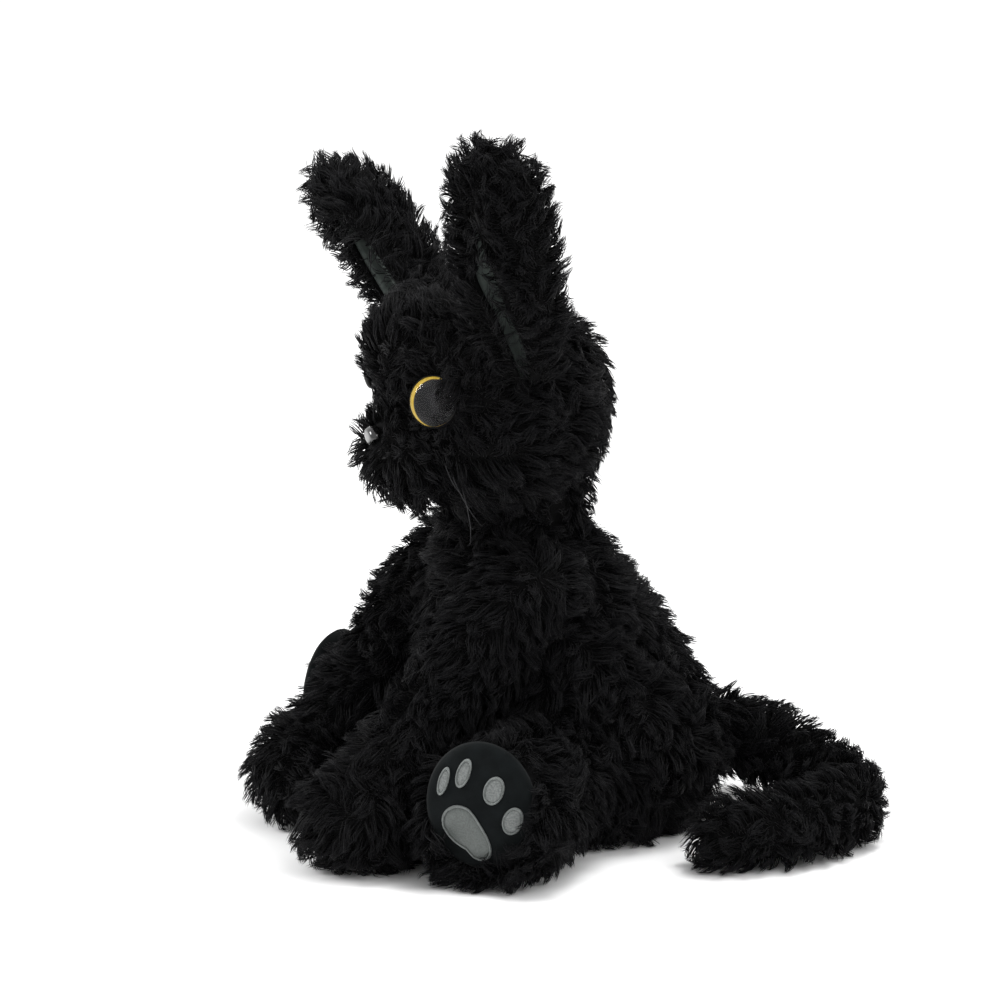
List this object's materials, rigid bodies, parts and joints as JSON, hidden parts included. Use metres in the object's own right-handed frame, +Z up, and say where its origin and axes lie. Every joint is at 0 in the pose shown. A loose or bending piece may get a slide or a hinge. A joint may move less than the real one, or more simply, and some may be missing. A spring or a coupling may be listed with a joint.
{
  "type": "plush cat",
  "caption": "Sitting black long-pile plush cat with big cupped ears, gold-ringed safety eyes, a short nose button, nylon whiskers, suede paw soles and a curled tail.",
  "frame": {"origin": "the middle of the seat, on the floor that the cat sits on", "axes": "+Z up, the cat looks along -Y, its left side is +X"},
  "size_m": [0.2367, 0.2576, 0.3199],
  "materials": {
    "black_plush": "long wavy pile, soft sheen",
    "ear_suede": "smooth short suede",
    "sole_suede": "smooth short suede",
    "embroidery": "satin stitch thread",
    "fibre_fill": "loose polyester fibre",
    "pellet_cloth": "plain woven bag of plastic pellets",
    "black_plastic": "glossy moulded",
    "iris_gold": "painted under a clear dome",
    "eye_lens": "clear glossy acrylic dome",
    "washer_plastic": "plain moulded",
    "nylon": "thin clear monofilament"
  },
  "bodies": {
    "root": {"body_skin": "black_plush", "body_stuffing": "fibre_fill", "pellet_bag": "pellet_cloth"},
    "neck": {"neck_stuffing": "fibre_fill"},
    "head": {"left_eye_cup": "black_plastic", "left_eye_iris": "iris_gold", "left_eye_lens": "eye_lens", "left_eye_washer": "washer_plastic", "right_eye_cup": "black_plastic", "right_eye_iris": "iris_gold", "right_eye_lens": "eye_lens", "right_eye_washer": "washer_plastic", "nose": "black_plastic", "nose_washer": "washer_plastic", "head_skin": "black_plush", "head_stuffing": "fibre_fill", "left_whisker_1": "nylon", "left_whisker_2": "nylon", "left_whisker_3": "nylon", "right_whisker_1": "nylon", "right_whisker_2": "nylon", "right_whisker_3": "nylon"},
    "left_ear": {"left_ear_back": "black_plush", "left_ear_lining": "ear_suede"},
    "right_ear": {"right_ear_back": "black_plush", "right_ear_lining": "ear_suede"},
    "left_arm": {"left_arm_skin": "black_plush", "left_arm_stuffing": "fibre_fill"},
    "right_arm": {"right_arm_skin": "black_plush", "right_arm_stuffing": "fibre_fill"},
    "left_leg": {"left_leg_skin": "black_plush", "left_leg_stuffing": "fibre_fill", "left_sole": "sole_suede", "left_toe_pad_1": "embroidery", "left_toe_pad_2": "embroidery", "left_toe_pad_3": "embroidery", "left_toe_pad_4": "embroidery", "left_main_pad": "embroidery"},
    "right_leg": {"right_leg_skin": "black_plush", "right_leg_stuffing": "fibre_fill", "right_sole": "sole_suede", "right_toe_pad_1": "embroidery", "right_toe_pad_2": "embroidery", "right_toe_pad_3": "embroidery", "right_toe_pad_4": "embroidery", "right_main_pad": "embroidery"},
    "tail_1": {"tail_1_skin": "black_plush", "tail_1_stuffing": "fibre_fill"},
    "tail_2": {"tail_2_skin": "black_plush", "tail_2_stuffing": "fibre_fill"},
    "tail_3": {"tail_3_skin": "black_plush", "tail_3_stuffing": "fibre_fill"}
  },
  "joints": [
    {"name": "neck_turn", "type": "hinge", "parent": "root", "child": "neck", "pos_m": [0, -0.02, 0.15], "axis": [0, 0, 1], "range_deg": [-35, 35]},
    {"name": "head_nod", "type": "hinge", "parent": "neck", "child": "head", "pos_m": [0, -0.02, 0.15], "axis": [-1, 0, 0], "range_deg": [-12, 12]},
    {"name": "left_shoulder", "type": "hinge", "parent": "root", "child": "left_arm", "pos_m": [0.041, -0.027, 0.12], "axis": [-1, 0, 0], "range_deg": [0, 45]},
    {"name": "right_shoulder", "type": "hinge", "parent": "root", "child": "right_arm", "pos_m": [-0.041, -0.027, 0.12], "axis": [-1, 0, 0], "range_deg": [0, 45]},
    {"name": "left_hip", "type": "hinge", "parent": "root", "child": "left_leg", "pos_m": [0.045, -0.014, 0.033], "axis": [0, 0, 1], "range_deg": [0, 18]},
    {"name": "right_hip", "type": "hinge", "parent": "root", "child": "right_leg", "pos_m": [-0.045, -0.014, 0.033], "axis": [0, 0, -1], "range_deg": [0, 18]},
    {"name": "tail_root", "type": "hinge", "parent": "root", "child": "tail_1", "pos_m": [-0.004, 0.058, 0.034], "axis": [0, 0, 1], "range_deg": [-5, 30]},
    {"name": "tail_middle", "type": "hinge", "parent": "tail_1", "child": "tail_2", "pos_m": [0.0325, 0.10544, 0.01811], "axis": [0, 0, 1], "range_deg": [-8, 25]},
    {"name": "tail_tip", "type": "hinge", "parent": "tail_2", "child": "tail_3", "pos_m": [0.08701, 0.09591, 0.0146], "axis": [0, 0, 1], "range_deg": [-2, 25]},
    {"name": "left_ear_fold", "type": "hinge", "parent": "head", "child": "left_ear", "pos_m": [0.044, -0.036, 0.22], "axis": [0.7916, 0.6111, 0], "range_deg": [-15, 15]},
    {"name": "right_ear_fold", "type": "hinge", "parent": "head", "child": "right_ear", "pos_m": [-0.044, -0.036, 0.22], "axis": [0.7458, -0.6662, 0], "range_deg": [-15, 15]}
  ]
}
